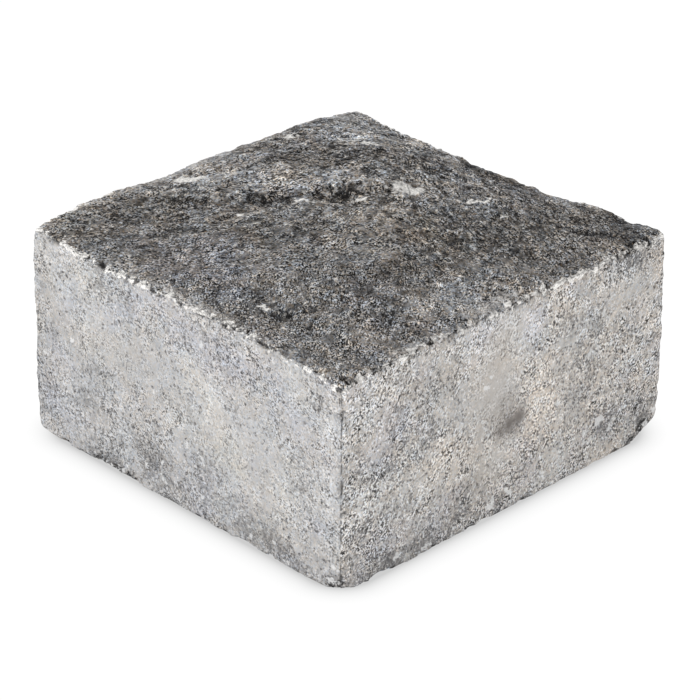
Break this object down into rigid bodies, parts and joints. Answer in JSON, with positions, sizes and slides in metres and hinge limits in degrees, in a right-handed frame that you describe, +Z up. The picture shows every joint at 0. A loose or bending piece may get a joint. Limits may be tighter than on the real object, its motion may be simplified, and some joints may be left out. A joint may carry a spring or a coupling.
{
  "type": "granite cobblestone",
  "caption": "Hewn granite block for paving, with four flat walls, a flat bed to rest on, worn arrises and a rough, mounded riven top.",
  "frame": {"origin": "centre of the flat bed, on the surface that the stone rests on", "axes": "+Z up from the bed to the riven top, +X and -Y out of the two walls that meet at the sharpest edge"},
  "size_m": [0.202, 0.2068, 0.1173],
  "materials": {
    "granite": "rough grey granite: pale hewn walls with dark mica specks, and a darker riven top"
  },
  "bodies": {
    "root": {"cobblestone": "granite"}
  },
  "joints": []
}
